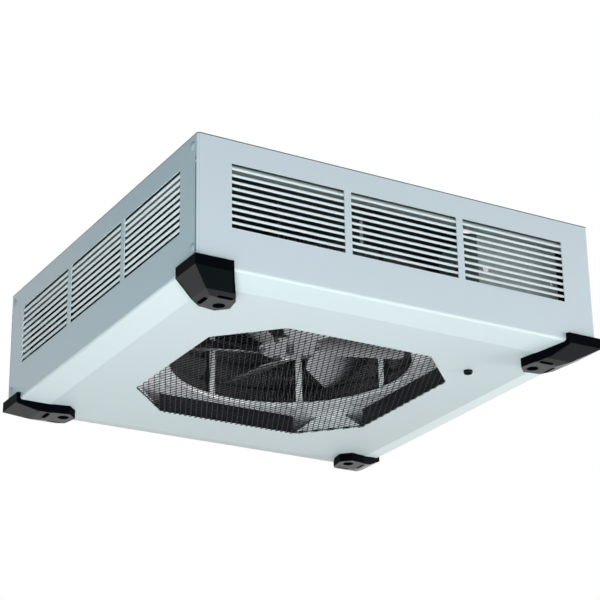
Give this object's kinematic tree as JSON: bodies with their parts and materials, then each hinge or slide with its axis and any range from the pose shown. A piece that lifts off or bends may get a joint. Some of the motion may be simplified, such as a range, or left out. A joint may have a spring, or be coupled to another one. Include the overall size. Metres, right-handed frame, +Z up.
{
  "type": "ceiling mounted fan heater",
  "caption": "Square ceiling heater with louvred sides, a dished bottom panel with an octagonal mesh grille, black corner guards, and a fan, motor and finned heating rings inside.",
  "frame": {"origin": "centre of the flat top that lies against the ceiling", "axes": "+Z up to the ceiling, +X along the front side from left to right, +Y from the front side to the back side"},
  "size_m": [0.457, 0.457, 0.1477],
  "materials": {
    "casing_paint": "satin pale grey stoved paint",
    "panel_paint": "satin white-grey stoved paint",
    "rivet_steel": "satin",
    "galvanised": "dull zinc with faint spangle",
    "grille_black": "satin black",
    "collar_steel": "blackened steel",
    "tab_zinc": "bright zinc",
    "guard_black": "fine satin black",
    "bright_steel": "bright zinc",
    "fan_metal": "plain mill finish",
    "hub_metal": "turned",
    "motor_black": "semi-gloss black",
    "motor_iron": "varnished laminations",
    "bearing_steel": "ground",
    "element_sheath": "heat-darkened steel",
    "fin_steel": "heat-darkened steel",
    "ceramic": "unglazed ceramic",
    "terminal_plastic": "moulded",
    "dark_plastic": "moulded",
    "bush_rubber": "dull",
    "spindle_plastic": "moulded"
  },
  "bodies": {
    "heater": {"mounting_plate": "galvanised", "casing_front": "casing_paint", "casing_right": "casing_paint", "casing_back": "casing_paint", "casing_left": "casing_paint", "casing_rivets": "rivet_steel", "bottom_panel": "panel_paint", "grille_mesh": "grille_black", "inlet_collar": "collar_steel", "corner_tabs": "tab_zinc", "guard_front_left": "guard_black", "guard_front_right": "guard_black", "guard_back_right": "guard_black", "guard_back_left": "guard_black", "guard_screws": "bright_steel", "panel_standoffs": "bright_steel", "fan_plate": "galvanised", "motor_shell": "motor_black", "motor_stator": "motor_iron", "motor_cap_lower": "motor_black", "motor_cap_upper": "motor_black", "motor_bearings": "bearing_steel", "motor_nuts": "bright_steel", "motor_bracket": "galvanised", "element_posts": "galvanised", "element_lower": "element_sheath", "element_middle": "element_sheath", "element_upper": "element_sheath", "fins_lower": "fin_steel", "fins_middle": "fin_steel", "fins_upper": "fin_steel", "element_terminals": "ceramic", "control_box": "galvanised", "control_lid": "galvanised", "control_screws": "bright_steel", "terminal_block": "terminal_plastic", "transformer": "motor_iron", "contactor": "dark_plastic", "cable_bush": "bush_rubber", "thermostat_body": "dark_plastic", "thermostat_nut": "bright_steel", "limit_switch": "dark_plastic"},
    "fan_rotor": {"fan_blades": "fan_metal", "fan_hub": "hub_metal", "fan_rivets": "bright_steel", "motor_shaft": "bright_steel", "motor_rotor": "motor_iron"},
    "thermostat_knob": {"thermostat_spindle": "spindle_plastic"}
  },
  "joints": [
    {"name": "fan_spin", "type": "hinge", "parent": "heater", "child": "fan_rotor", "pos_m": [0, 0, -0.09], "axis": [0, 0, 1], "continuous": true},
    {"name": "thermostat_turn", "type": "hinge", "parent": "heater", "child": "thermostat_knob", "pos_m": [0.1395, -0.122, -0.12], "axis": [0, 0, 1], "range_deg": [0, 270]}
  ]
}
